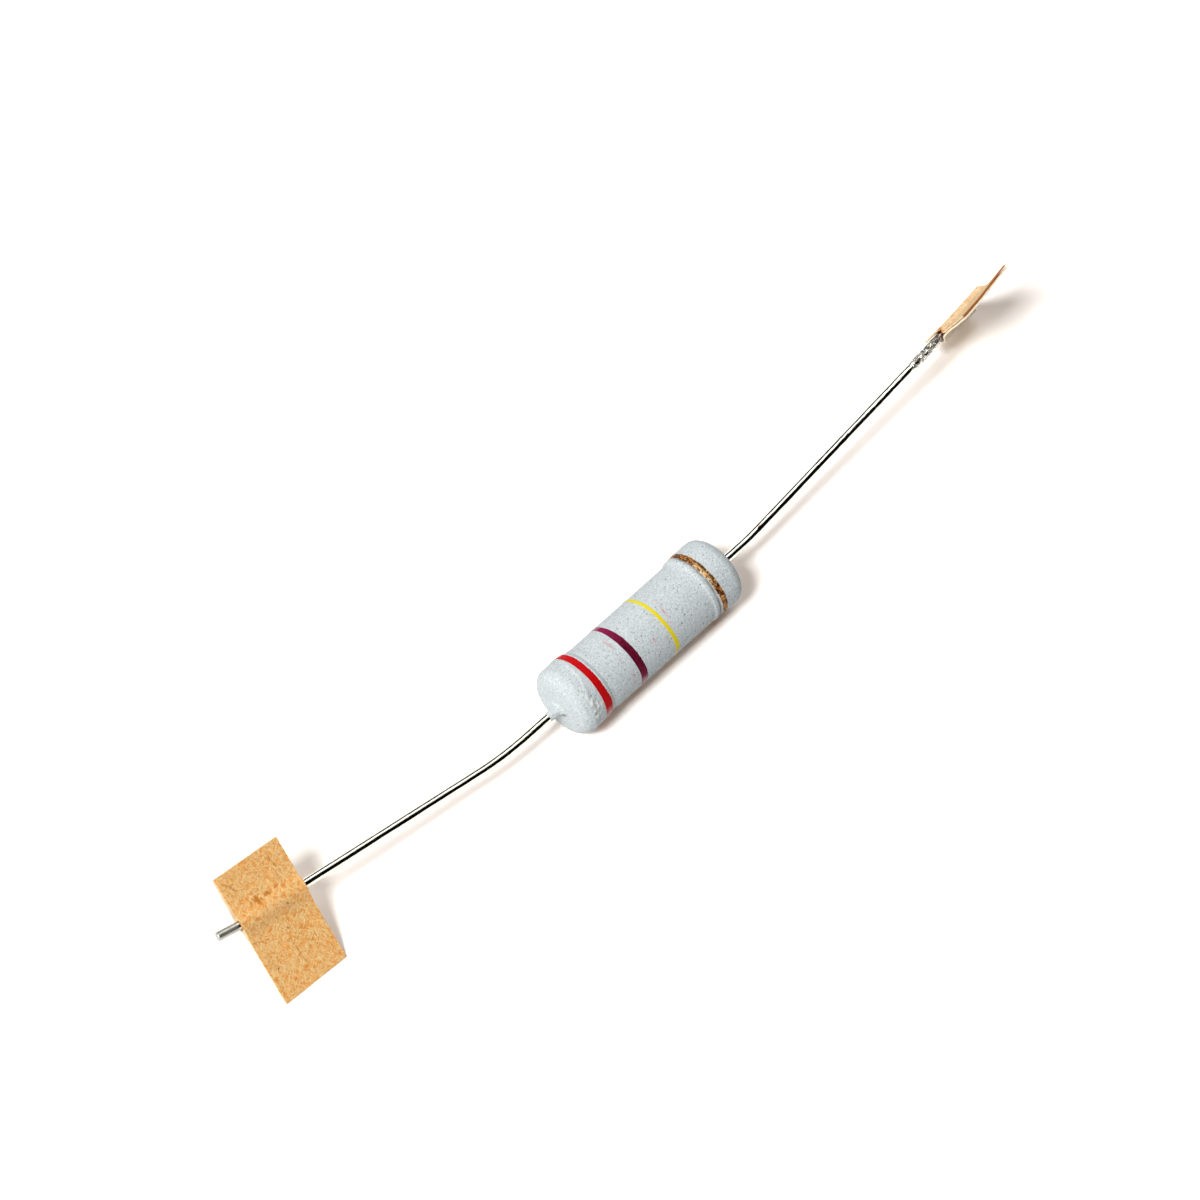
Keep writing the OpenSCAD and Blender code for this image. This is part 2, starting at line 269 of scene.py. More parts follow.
def makeLacquerGrain():
    # mottling, fine grain and dirt specks of the lacquer, also used by the paint on it
    group, given = newGroup(
        "lacquerGrain", {"Place": vectorSocket, "Color": colorSocket, "Mottle": 0.5, "Grain": 0.3,
                         "Specks": 0.5, "Speck color": colorSocket}, surfaceOutputs)
    place = given["Place"]
    cloud = ramp(group, grain(group, place, 0.8, 4, 0.6), 0.38, 0.66)
    fine = grain(group, place, 6.5, 3, 0.75)
    color = tinted(group, given["Color"], cloud, given["Mottle"], lacquerLook["mottle"])
    color = tinted(group, color, ramp(group, fine, 0.34, 0.66), given["Grain"],
                   lacquerLook["dust"])
    for scale, radius, share, strength in lacquerLook["specks"]:
        distance, chance = scattered(group, place, scale)
        picked = calc(group, "LESS_THAN", chance[0], times(group, given["Specks"], share))
        size = ramp(group, chance[1], 0, 1, radius * 0.5, radius)
        spot = ramp(group, calc(group, "DIVIDE", distance, size), 1.0, 0.45)
        color = tinted(group, color, times(group, spot, picked),
                       ramp(group, chance[2], 0, 1, 0.12, strength), given["Speck color"])
    lumps = times(group, grain(group, place, 2.2, 4), 0.8)
    return closeGroup(group, {
        "Color": color, "Roughness": ramp(group, fine, 0.3, 0.7, 0.45, 0.65),
        "Height": plus(group, times(group, fine, 0.35), lumps)})


paperLook = {
    "hairSize": (0.62, 0.13, 1),
    "hairTurns": (0.4, -0.6, 1.3, 2.2),
    "pitSize": (0.42, 0.22, 1),
    "fleckColor": (0.20, 0.11, 0.05, 1),
    "fleckShare": 0.35,
}


def makePaperFibre():
    # matted fibres, light hairs, pits and small dark flecks of a paper tape
    s = paperLook
    group, given = newGroup(
        "paperFibre", {"Place": vectorSocket, "Color": colorSocket, "Light": colorSocket,
                       "Dark": colorSocket, "Contrast": 0.6}, surfaceOutputs)
    place, light, contrast = given["Place"], given["Light"], given["Contrast"]
    cloud = grain(group, place, 0.5, 3, 0.6, 0.4)
    matted = grain(group, place, 2.2, 6, 0.85, 0.6)
    pits = grain(group, drawnOut(group, place, s["pitSize"], (0, 0, 0.9)), 1.0, 4, 0.8, 0.5)
    color = mixColor(group, ramp(group, cloud, 0.35, 0.68, 0, 0.4), given["Color"], light)
    color = tinted(group, color, ramp(group, matted, 0.47, 0.62), contrast, given["Dark"])
    color = tinted(group, color, ramp(group, matted, 0.50, 0.38), contrast, light)
    pitted = times(group, ramp(group, pits, 0.50, 0.64), contrast)
    color = mixColor(group, pitted, color, given["Dark"])
    height = calc(group, "SUBTRACT", times(group, matted, -0.8), pitted)
    for turn in s["hairTurns"]:
        spread = drawnOut(group, place, s["hairSize"], (0, 0, turn))
        hair = ramp(group, grain(group, spread, 1.0, 1.5, 0.5, 0.7), 0.58, 0.68)
        color = tinted(group, color, hair, contrast, light)
        height = plus(group, height, times(group, hair, 0.5))
    distance, chance = scattered(group, place, 1.5)
    fleck = times(group, ramp(group, distance, 0.11, 0.05),
                  calc(group, "LESS_THAN", chance[0], s["fleckShare"]))
    return closeGroup(group, {
        "Color": tinted(group, color, fleck, 0.6, s["fleckColor"]),
        "Roughness": ramp(group, matted, 0.3, 0.7, 0.75, 0.95), "Height": height})


tinLook = {
    "yellowed": (0.45, 0.44, 0.37, 1),
    "pit": (0.07, 0.06, 0.045, 1),
    "dull": (0.34, 0.34, 0.31, 1),
    "drawnSize": (2.5, 0.16, 0.16),
    "crustSize": (0.42, 0.26, 0.26),
}


def makeTinning():
    # drawn and tinned wire, from smooth to pitted
    s = tinLook
    group, given = newGroup(
        "tinning", {"Place": vectorSocket, "Turn": vectorSocket, "Color": colorSocket,
                    "Pits": 0.0, "Dull": 0.0}, surfaceOutputs)
    place, turn = given["Place"], given["Turn"]
    drawn = grain(group, drawnOut(group, place, s["drawnSize"], turn), 1.0, 3, 0.6)
    crust = grain(group, drawnOut(group, place, s["crustSize"], turn), 1.0, 4, 0.7, 0.6)
    pit = times(group, ramp(group, crust, 0.47, 0.55), given["Pits"])
    color = mixColor(group, ramp(group, drawn, 0.42, 0.64, 0, 0.3), given["Color"], s["yellowed"])
    color = tinted(group, color, pit, 0.9, s["pit"])
    color = tinted(group, color, ramp(group, crust, 0.3, 0.7, 0.7, 1.0), given["Dull"], s["dull"])
    rough = plus(group, ramp(group, drawn, 0.3, 0.7, 0.04, 0.11), times(group, pit, 0.15))
    return closeGroup(group, {
        "Color": color, "Roughness": plus(group, rough, times(group, given["Dull"], 0.35)),
        "Height": calc(group, "SUBTRACT", times(group, drawn, 0.3), pit)})


mark = makeMark()
lacquerGrain = makeLacquerGrain()
paperFibre = makePaperFibre()
tinning = makeTinning()


def strokeMask(tree, place, start, end, width, ragged, soft):
    return useGroup(tree, mark, {"Place": place, "From": start, "To": end, "Width": width,
                                 "Ragged": ragged, "Soft": soft})["Mask"]


# lacquer and band paints
coatingFinish = {
    "color": (0.73, 0.79, 0.81, 1),
    "speckColor": (0.13, 0.11, 0.09, 1),
    "pink": (0.60, 0.22, 0.24, 1),
    # dark colour for dirt spots and for the painted shadow beside the lead
    "darkDirtAndShade": (0.16, 0.13, 0.11, 1),
    "cream": (0.95, 0.92, 0.84, 1),
    # colour of the painted shade drawn in the creases
    "crease": (0.17, 0.155, 0.14, 1),
    # painted shade in the creases: place beside the cap's mouth, half width, strength, and the
    # angles between which it grows
    "creaseShadeLines": [(0.02, 0.085, 0.95, 60, 35), (-0.34, 0.055, 0.4, -20, -50)],
    # tint, then from and to as x and angle on the body, width and strength
    "marks": [
        ("pink", [((1.86, -2), (1.76, -21), 0.12, 0.75), ((1.76, -21), (1.62, -40), 0.10, 0.6),
                  ((-0.44, -40), (-0.42, -47), 0.14, 0.75), ((-0.9, -60), (-0.7, -58), 0.16, 0.3),
                  ((-3.72, 10), (-3.63, -10), 0.22, 0.5), ((-3.89, -27), (-3.87, -31), 0.12, 0.7),
                  ((-3.60, -62), (-3.66, -80), 0.20, 0.5)]),
        ("darkDirtAndShade", [((-1.36, 18), (-1.30, 15), 0.13, 0.6), ((-0.67, -72), (-0.62, -70), 0.13, 0.6),
                  ((0.55, -66), (0.6, -64), 0.16, 0.35)]),
        ("cream", [((-8.11, -48), (-8.13, -52), 0.26, 0.7), ((-8.13, -65), (-8.0, -68), 0.28, 0.7),
                   ((-7.34, -60), (-7.36, -64), 0.22, 0.7), ((-8.42, -32), (-8.3, -38), 0.20, 0.6),
                   ((-7.75, -56), (-7.7, -61), 0.17, 0.6), ((-8.3, -75), (-8.2, -80), 0.22, 0.5)])],
    # painted shadow: a small dark spot beside the lead, where the lead's shadow falls on the near
    # face; from and to as steps from the middle of the near face
    "hole": ((-0.16, -0.44, -0.36), (-0.05, -0.74, -0.10)),
}


def makeCoatingMaterial():
    s = coatingFinish
    material, tree = newMaterial("lacquerCoat")
    place = placeInMm(tree)
    along = partsOf(tree, place)
    specks = plus(tree, ramp(tree, along["X"], -9, 5, 0.10, 0.62),
                  ramp(tree, along["Y"], 0.8, -3.0, 0.0, 0.45))
    made = useGroup(tree, lacquerGrain, {
        "Place": place, "Color": s["color"], "Grain": 0.8, "Specks": specks,
        "Mottle": ramp(tree, along["X"], -6.9, -8.3, 0.15, 0.35), "Speck color": s["speckColor"]})
    ragged = shifted(tree, grain(tree, place, 5.0, 4, 0.75, 0.4), 0.46, 0.9)
    color = made["Color"]
    angle = bodyAngle(tree, place)
    broad = ramp(tree, grain(tree, place, 1.1, 3), 0.34, 0.6, 0.5, 1.0)
    # painted shade: thin dark lines round the body where the creases beside the gold cap's mouth
    # sit in shade
    for x, width, strength, top, foot in s["creaseShadeLines"]:
        away = calc(tree, "ABSOLUTE", calc(tree, "SUBTRACT", along["X"], capMouth + x))
        creaseShade = times(tree, ramp(tree, away, width, width * 0.3, 0, strength),
                     ramp(tree, angle, top, foot))
        color = tinted(tree, color, creaseShade, broad, s["crease"])
    for tint, rows in s["marks"]:
        for start, end, width, strength in rows:
            radius = waistRadius if abs(start[0]) < capMouth else bulgeRadius
            mask = strokeMask(tree, place, bodyPoint(*start, radius), bodyPoint(*end, radius),
                              width, ragged, 0.2)
            color = tinted(tree, color, mask, strength, s[tint])
    # painted shadow of the lead on the near face
    start, end = (Vector((-bodyEnd, 0, axisHeight)) + Vector(step) for step in s["hole"])
    hole = strokeMask(tree, place, start, end, 0.25, times(tree, ragged, 0.4), 0.4)
    color = tinted(tree, color, hole, 0.75, s["darkDirtAndShade"])
    return finishMaterial(material, color, made["Roughness"], made["Height"], (0.05, 0.75),
                          Specular_IOR_Level=0.10)


paintFinish = {
    # colour, the deep colour painted in as shade, then the angles past which the band turns paler
    # at the top and the foot
    "red": ((0.62, 0.004, 0.008, 1), (0.50, 0.001, 0.002, 1), 46, -78),
    "violet": ((0.27, 0.010, 0.07, 1), (0.075, 0.0005, 0.008, 1), 38, -82),
    "yellow": ((0.78, 0.70, 0.05, 1), (0.84, 0.66, 0.010, 1), 42, -86),
    "paleEndColor": (0.72, 0.60, 0.60, 1),
}


def makePaintMaterial(name):
    # painted shade: deep colour mixed in by angle round the body, fullest between -20 and -60
    # degrees on the -Y side, with random blotches; paler past set angles towards the top and the
    # foot
    color, deep, top, foot = paintFinish[name]
    material, tree = newMaterial(name + "Paint")
    place = placeInMm(tree)
    angle = bodyAngle(tree, place)
    # painted shade: the deep colour mixed in by angle round the body
    paintedShade = times(tree, ramp(tree, angle, 32, -20), ramp(tree, angle, -90, -60, 0.3, 1))
    blotch = ramp(tree, grain(tree, place, 3.0, 4, 0.65), 0.36, 0.66)
    shadeAndBlotch = times(tree, paintedShade, plus(tree, times(tree, blotch, 0.5), 0.6), clamp=True)
    paleEnds = calc(tree, "MAXIMUM", ramp(tree, angle, top, top + 22),
                ramp(tree, angle, foot, foot - 16))
    ragged = ramp(tree, grain(tree, place, 4.5, 3), 0.3, 0.6, 0.3, 0.9)
    shade = tinted(tree, mixColor(tree, shadeAndBlotch, color, deep), paleEnds, ragged, paintFinish["paleEndColor"])
    made = useGroup(tree, lacquerGrain, {
        "Place": place, "Color": shade, "Mottle": 0.0, "Grain": 0.008, "Specks": 0.25,
        "Speck color": color})
    return finishMaterial(material, made["Color"], made["Roughness"], made["Height"], (0.04, 0.5),
                          Specular_IOR_Level=0.05)


goldFinish = {
    "deep": (0.075, 0.017, 0.002, 1),
    "bronze": (0.82, 0.32, 0.055, 1),
    # colour of the bright flakes and of the painted highlight
    "brightFlakeAndHighlight": (1.0, 0.78, 0.42, 1),
    "flakes": 8.5,
    "highlightEdge": (6.78, 6.55),
    "sparkChance": 0.86,
}


def makeGoldMaterial():
    # bronze flakes in a brown lacquer, with a painted highlight along the inner edge between set
    # angles round the body
    s = goldFinish
    material, tree = newMaterial("goldPaint")
    place = placeInMm(tree)
    angle = bodyAngle(tree, place)
    tone = scattered(tree, place, s["flakes"])[1]
    patch = grain(tree, place, 2.6, 4, 0.75)
    # painted highlight: brighter, denser bronze between set angles round the body, along the inner
    # edge
    paintedHighlight = times(tree, ramp(tree, angle, -48, -24), ramp(tree, angle, 12, -6))
    paintedHighlight = times(tree, paintedHighlight, ramp(tree, partsOf(tree, place)["X"], *s["highlightEdge"], 0.05, 1.0))
    dense = plus(tree, ramp(tree, patch, 0.42, 0.62), times(tree, paintedHighlight, 0.6))
    bronze = times(tree, ramp(tree, tone[0], 0.25, 0.9), dense, clamp=True)
    color = mixColor(tree, bronze, s["deep"], s["bronze"])
    highlightAndSparkle = times(tree, ramp(tree, tone[1], 0.15, 0.7), paintedHighlight)
    spark = times(tree, calc(tree, "GREATER_THAN", tone[2], s["sparkChance"]), dense)
    highlightAndSparkle = calc(tree, "MAXIMUM", highlightAndSparkle, times(tree, spark, 0.6), clamp=True)
    color = mixColor(tree, highlightAndSparkle, color, s["brightFlakeAndHighlight"])
    height = plus(tree, tone[0], times(tree, patch, 1.5))
    return finishMaterial(material, color, ramp(tree, tone[1], 0, 1, 0.3, 0.55), height,
                          (0.03, 0.6), Metallic=ramp(tree, bronze, 0, 1, 0.1, 0.45),
                          Specular_IOR_Level=0.08)


# tinned wire
wireFinish = {
    # x from where pits and a dull skin set in; the red side has no pits
    redSide: {"color": (0.84, 0.83, 0.72, 1), "pits": (-60, -61), "dull": (-41.6, -42.1, 0, 0.9)},
    goldSide: {"color": (0.86, 0.86, 0.79, 1), "pits": (33.6, 34.6), "dull": (33.8, 36.0, 0, 0.06)},
    # painted shadows: dark spots where the body's shadow falls on the gold lead and in the shaded
    # gap at the tape's mouth; from, to, width and strength
    "paintedShadows": [((14.1, -0.12, 3.58), (14.45, -0.10, 3.62), 0.24, 1.0),
              ((37.62, 1.25, 5.10), (37.9, 1.275, 5.13), 0.55, 0.85)],
    "shadowColor": (0.09, 0.02, 0.015, 1),
}


def wireRun(side):
    # a point and the direction of the lead's straight run, in metres
    run = mounts["lead_run_" + sideNames[side] + "_side"]
    return Vector(run["pos_m"]), Vector(run["axis"])


def makeWireMaterial(side):
    own = wireFinish[side]
    material, tree = newMaterial("tinnedWire" + sideNames[side].title())
    place = placeInMm(tree)
    along = partsOf(tree, place)["X"]
    made = useGroup(tree, tinning, {
        "Place": place, "Turn": wireRun(side)[1].to_track_quat("X", "Z").to_euler(),
        "Color": own["color"], "Pits": ramp(tree, along, *own["pits"]),
        "Dull": ramp(tree, along, *own["dull"])})
    ragged = shifted(tree, grain(tree, place, 3.5), 0.45, 0.5)
    color = made["Color"]
    # painted shadows on the lead
    for start, end, width, strength in wireFinish["paintedShadows"]:
        spot = strokeMask(tree, place, start, end, width, ragged, 0.7)
        color = tinted(tree, color, spot, strength, wireFinish["shadowColor"])
    return finishMaterial(material, color, made["Roughness"], made["Height"], (0.04, 0.7),
                          Metallic=1.0)


# kraft tape and its cream backing
paperTints = {
    "stain": (0.60, 0.22, 0.03, 1),
    "scratch": (0.62, 0.26, 0.07, 1),
    "ridgeShade": (0.80, 0.49, 0.24, 1),
    "fleck": (0.14, 0.09, 0.06, 1),
    "cream": (0.97, 0.72, 0.42, 1),
    # dark top cut edge: its own brown, deepened as painted shade
    "rim": (0.44, 0.14, 0.03, 1),
}
paperFinish = {
    # colours, contrast, bump, shine, and where a dark rim starts across the tape: the top cut
    # edge's own brown, deepened as painted shade
    "redKraftPaper": {"Color": (1.0, 0.52, 0.145, 1), "Light": (1.0, 0.68, 0.31, 1),
                      "Dark": (0.86, 0.31, 0.06, 1), "Contrast": 1.0, "bump": (0.06, 0.6),
                      "shine": 0.05, "top": 4.6},
    "goldKraftPaper": {"Color": (0.98, 0.66, 0.34, 1), "Light": (1.0, 0.80, 0.54, 1),
                       "Dark": (0.78, 0.42, 0.16, 1), "Contrast": 0.75, "bump": (0.06, 0.6),
                       "shine": 0.05, "top": 6.12},
    "backingPaper": {"Color": (1.0, 0.82, 0.58, 1), "Light": (1.0, 0.91, 0.76, 1),
                     "Dark": (0.90, 0.64, 0.38, 1), "Contrast": 0.4, "bump": (0.04, 0.4),
                     "shine": 0.1, "top": None},
    "cutEdgeAndShadeWidth": 0.1,
}

# tint, then from and to along and across the tape, width, strength and softness
paperMarks = {
    "redKraftPaper": [
        # painted shade along the flank of the ridge over the lead
        ("ridgeShade", [((5.0, -0.9), (1.6, -0.5), 0.8, 0.22, 0.1)]),
        ("stain", [((4.15, 1.25), (4.05, 0.85), 0.3, 0.95, 0.6),
         ((3.3, 1.05), (3.02, 1.02), 0.24, 0.9, 0.6), ((4.62, 1.1), (4.7, 0.9), 0.13, 0.8, 0.5),
         ((3.75, 0.95), (3.7, 0.9), 0.12, 0.7, 0.5), ((2.35, 1.12), (1.95, 1.2), 0.12, 0.6, 0.4),
         ((1.75, 1.0), (1.5, 0.9), 0.15, 0.55, 0.4)]),
        ("scratch", [((1.6, 1.75), (1.55, 1.2), 0.09, 0.5, 0.3)]),
        ("cream", [((4.4, 1.5), (2.9, 1.42), 0.12, 0.5, 0.2),
         ((3.9, -0.2), (3.2, 0.4), 0.2, 0.35, 0.1)]),
        ("scratch", [((1.62, 3.5), (1.42, 2.5), 0.1, 0.75, 0.3),
         ((5.85, 3.42), (5.28, 2.5), 0.1, 0.8, 0.3), ((6.1, 3.1), (5.6, 2.2), 0.07, 0.5, 0.3),
         ((3.05, -2.4), (2.99, -3.3), 0.07, 0.6, 0.3),
         ((2.99, -3.6), (2.78, -5.25), 0.09, 0.7, 0.3),
         ((2.55, -3.3), (2.35, -4.6), 0.07, 0.4, 0.3),
         ((5.95, -1.84), (4.71, -2.19), 0.1, 0.6, 0.3),
         ((5.4, -1.75), (4.9, -1.62), 0.08, 0.4, 0.3),
         ((1.72, -3.9), (1.33, -4.3), 0.09, 0.5, 0.3), ((4.3, 3.9), (3.6, 3.4), 0.08, 0.3, 0.3)]),
        ("fleck", [((2.0, -0.49), (2.02, -0.45), 0.1, 0.7, 0.4),
         ((2.89, -2.2), (2.8, -2.3), 0.1, 0.65, 0.4),
         ((5.04, -4.63), (5.0, -4.6), 0.11, 0.75, 0.4),
         ((1.45, -6.1), (1.42, -6.05), 0.1, 0.6, 0.4)]),
        ("cream", [((0.2, 0.9), (0.1, -0.5), 0.1, 0.4, 0.2)])
    ],
    "goldKraftPaper": [
        # dark marks at the inner edge beside the lead: partly brownish fibres and crinkles, partly
        # painted shade of the gap at the tape's mouth
        ("stain", [((0.0, 0.9), (0.35, 0.2), 0.28, 0.85, 0.3)]),
        ("scratch", [((0.25, 0.9), (0.9, 1.3), 0.1, 0.7, 0.3),
         ((-0.2, 0.1), (0.3, -0.2), 0.16, 0.5, 0.3)]),
        ("stain", [((0.5, 0.5), (1.1, 0.7), 0.08, 0.5, 0.3)])
    ],
    "backingPaper": [],
}


def makePaperMaterial(name):
    own = paperFinish[name]
    material, tree = newMaterial(name)
    place = sheetPlace(tree)
    look = {key: own[key] for key in ("Color", "Light", "Dark", "Contrast")}
    made = useGroup(tree, paperFibre, {"Place": place, **look})
    ragged = shifted(tree, grain(tree, place, 3.4, 4, 0.75, 0.6), 0.45, 0.7)
    fine = times(tree, ragged, 0.5)
    color = made["Color"]
    for tint, rows in paperMarks[name]:
        for start, end, width, strength, soft in rows:
            mask = strokeMask(tree, place, (*start, 0), (*end, 0), width,
                              fine if width < 0.2 else ragged, soft)
            color = tinted(tree, color, mask, strength, paperTints[tint])
    # dark top cut edge: its own brown, with painted shade
    top = own["top"]
    if top:
        rim = ramp(tree, partsOf(tree, place)["Y"], top, top + paperFinish["cutEdgeAndShadeWidth"])
        color = mixColor(tree, rim, color, paperTints["rim"])
    return finishMaterial(material, color, made["Roughness"], made["Height"], own["bump"],
                          Specular_IOR_Level=own["shine"])


# pieces hidden inside: size of the pattern, its detail and roughness, its two colours and two
# roughnesses, how fine the bump is where it differs, the bump and how metallic it is
innerFinish = {
    "firedCeramic": ((1 / 6, 1 / 6, 1 / 6), 4, 0.6, (0.80, 0.77, 0.70, 1), (0.90, 0.88, 0.82, 1),
                     (0.6, 0.85), None, (0.03, 0.5), 0.0),
    "oxideFilm": ((1 / 1.5, 1 / 1.5, 1 / 1.5), 3, 0.55, (0.055, 0.055, 0.065, 1),
                  (0.10, 0.095, 0.11, 1), (0.25, 0.4), 14.0, (0.01, 0.4), 0.3),
    "platedCap": ((0.12, 0.8, 0.8), 3, 0.55, (0.62, 0.61, 0.57, 1), (0.78, 0.77, 0.73, 1),
                  (0.25, 0.42), None, (0.01, 0.4), 1.0),
}


def makeInnerMaterial(name):
    size, detail, rough, color, other, roughness, fine, bump, metal = innerFinish[name]
    material, tree = newMaterial(name)
    place = placeInMm(tree)
    pattern = grain(tree, drawnOut(tree, place, size), 1.0, detail, rough)
    height = grain(tree, place, fine) if fine else pattern
    return finishMaterial(material, mixColor(tree, pattern, color, other),
                          ramp(tree, pattern, 0.3, 0.7, *roughness), height, bump, Metallic=metal)


coatingMaterial = makeCoatingMaterial()
bandPaints = {"band_" + name: makePaintMaterial(name) for name in ("red", "violet", "yellow")}
bandPaints["band_gold"] = makeGoldMaterial()
backingMaterial = makePaperMaterial("backingPaper")
print("materials made")


# mesh helpers: pieces are built in millimetres
def linkMesh(bm, name, material):
    mesh = bpy.data.meshes.new(name)
    bm.to_mesh(mesh)
    bm.free()
    mesh.materials.append(material)
    piece = bpy.data.objects.new(name, mesh)
    scene.collection.objects.link(piece)
    return piece


def finishPiece(bm, name, node, material, sharpAngle):
    bmesh.ops.recalc_face_normals(bm, faces=bm.faces)
    for edge in bm.edges:
        if len(edge.link_faces) == 2:
            edge.smooth = edge.calc_face_angle(0) < math.radians(sharpAngle)
    for face in bm.faces:
        face.smooth = True
    bmesh.ops.scale(bm, vec=(mm, mm, mm), verts=bm.verts)
    piece = linkMesh(bm, name, material)
    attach(piece, "root")
    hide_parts(node)
    print("made", name, "with", len(piece.data.polygons), "faces")


def addProfile(bm, points):
    # points hold a place along X, a radius and the radius of the rounded corner there
    corners = [bm.verts.new((x, 0, radius)) for x, radius, _ in points]
    for a, b in zip(corners, corners[1:] + corners[:1]):
        bm.edges.new((a, b))
    for corner, (_, _, round) in zip(corners, points):
        if round:
            out = [edge.other_vert(corner).co - corner.co for edge in corner.link_edges]
            turn = math.pi - out[0].angle(out[1])
            bmesh.ops.bevel(bm, geom=[corner], offset=round * math.tan(turn / 2), segments=10,
                            profile=0.5, affect="VERTICES", material=-1)


def cutLongEdges(bm, step, keep):
    for edge in list(bm.edges):
        cuts = int(edge.calc_length() / step)
        if cuts and keep(edge):
            bmesh.ops.subdivide_edges(bm, edges=[edge], cuts=cuts)


def spinRound(bm, steps):
    bmesh.ops.spin(bm, geom=bm.verts[:] + bm.edges[:], cent=(0, 0, 0), axis=(1, 0, 0),
                   angle=math.tau, steps=steps, use_merge=True)
    bmesh.ops.translate(bm, vec=(0, 0, axisHeight), verts=bm.verts)


def keepAboveSurface(bm):
    for vert in bm.verts:
        vert.co.z = max(vert.co.z, 0.0)


def ringPoint(angle, level):
    # a point on a circle of 1, where patterns that close round the body are read
    turn = math.radians(angle)
    return Vector((math.sin(turn), math.cos(turn), level))


# coating
coatingShape = {
    "clearance": 0.01, "cornerRadius": 1.05, "faceSlope": 5.0, "collarFillet": 0.45,
    "bulgeFall": 0.08, "bulgePlaces": (7.8, 7.3, 6.8), "stepLength": 0.28, "stepRise": 0.5,
    "flareLength": 0.50, "flareTop": 0.20, "creaseDepth": 0.075, "creaseWidth": 0.10,
    "collarThickness": 0.06, "capCorner": 0.5, "profileStep": 0.10, "turnSteps": 240,
    # height and fineness of the slow waves and of the grain
    "waves": (0.010, 0.45), "grain": (0.005, 3.5),
    # the waist's lacquer sagged while it was wet, and less so between these places
    "waistSag": (0, -0.05, -0.05), "sagEnds": (5.2, 5.9),
    # over the last part of each end, the unevenness also moves along the body
    "endLength": 0.9, "endLean": 1.2,
    # angle and place of the edge of the last dip at the red end
    "ledge": [(-150, -8.45), (-100, -8.5), (-60, -8.5), (-39, -8.3), (-18, -7.76), (20, -7.44),
              (60, -7.3), (120, -7.5)],
    "ledgeZone": (-9.2, -6.5), "ledgeEdge": (-0.12, 0.20), "ledgeHeight": 0.090, "ledgeFade": 0.30,
    # place, angle, half length, half width round the body and height of a rough crust
    "crust": (-8.0, -60, 0.45, 26, 0.16),
    # x, angle, reach and height of drips and lumps
    "lumps": [(-8.11, -48, 0.20, 0.08), (-8.13, -65, 0.26, 0.09), (-7.34, -62, 0.18, 0.07),
              (-8.40, -32, 0.22, 0.06), (-7.9, -78, 0.22, 0.05), (-7.75, -56, 0.14, 0.07),
              (-6.28, -30, 0.5, 0.015), (-6.30, -68, 0.35, 0.025), (8.3, -60, 0.40, 0.02),
              (8.0, 10, 0.45, 0.015)],
}

# how much of the collar's length is left round the lead, and the cone at its foot
collarShape = {"start": 0.2, "kept": 0.17, "lean": 0.14, "leanAngle": 30, "jag": 0.18,
               "shortest": 0.08, "cone": 0.08, "coneLength": 0.8, "lumpy": 0.7}


def bulgeAt(x):
    # radius of the outline over a cap, which falls away towards the waist
    s = coatingShape
    slope = math.tan(math.radians(s["faceSlope"]))
    corner = bodyEnd - (bulgeRadius - wireRadius) * slope - s["cornerRadius"]
    share = max(corner - abs(x), 0) / (corner - capMouth)
    return bulgeRadius - s["bulgeFall"] * min(share, 1) ** 2


def coatOutline():
    # the outside of the coating, from the collar's tip over the body to the gold end's face
    s = coatingShape
    hole = wireRadius + s["clearance"]
    collar = hole + s["collarThickness"]
    face = bulgeRadius - collar - s["collarFillet"]
    rim = bodyEnd - face * math.tan(math.radians(s["faceSlope"]))
    shoulder = bulgeRadius - s["bulgeFall"]
    crease = capMouth - s["clearance"]
    flareTop = crease - s["creaseWidth"]
    step = s["stepLength"] - capMouth
    return [
        (collarEnd, hole, 0),
        (collarEnd + 0.02, collar, 0.01),
        (-bodyEnd - 0.04, collar, s["collarFillet"]),
        (-rim, bulgeRadius, s["cornerRadius"]),
        *[(-x, bulgeAt(x), 0.5) for x in s["bulgePlaces"]],
        (-capMouth, shoulder + 0.01, 0.10),
        (step, waistRadius - 0.02, 0.25),
        (step + s["stepRise"], waistRadius, 1.0),
        (flareTop - s["flareLength"], waistRadius, 0.6),
        (flareTop - s["flareTop"], shoulder + 0.02, 0.15),
        (flareTop, shoulder + 0.01, 0.02),
        (flareTop + s["creaseWidth"] / 2, shoulder - s["creaseDepth"], 0.01),
        (crease, shoulder, 0.02),
        *[(x, bulgeAt(x), 0.5) for x in reversed(s["bulgePlaces"])],
        (rim, bulgeRadius, s["cornerRadius"]),
        (bodyEnd, hole, 0),
    ]


def coatHollow():
    # the inside over the lead, the weld bead, a cap and the film, then the same on the other side
    s = coatingShape["clearance"]
    hole = wireRadius + s
    weld = wireShape["weldRadius"] + s
    _, cone, coneEnd = weldPlaces()
    half = [(coneEnd + s, hole, 0), (cone + s, weld, 0), (capFace + s, weld, 0),
            (capFace + s, capRadius + s, coatingShape["capCorner"]),
            (capMouth - s, capRadius + s, 0), (capMouth - s, filmRadius + s, 0)]
    return half + [(-x, radius, round) for x, radius, round in reversed(half)]


def makeCoating():
    s = coatingShape
    bm = bmesh.new()
    addProfile(bm, coatOutline() + coatHollow())
    inside = capRadius + 2 * s["clearance"]

    def isOutside(point):
        nearEnd = abs(point.x) > capFace + 0.1
        return point.z > inside or (nearEnd and point.z > wireRadius + 0.02)

    cutLongEdges(bm, s["profileStep"], lambda edge: all(isOutside(v.co) for v in edge.verts))
    skin = bm.verts.layers.float.new("skin")
    for vert in bm.verts:
        vert[skin] = 1.0 if isOutside(vert.co) else 0.0
    spinRound(bm, s["turnSteps"])
    bmesh.ops.remove_doubles(bm, verts=bm.verts, dist=0.0005)
    for vert in bm.verts:
        if vert[skin] > 0.5:
            vert.co = coatSurface(vert.co)
    finishPiece(bm, "lacquer_coating", "coating", coatingMaterial, 60)


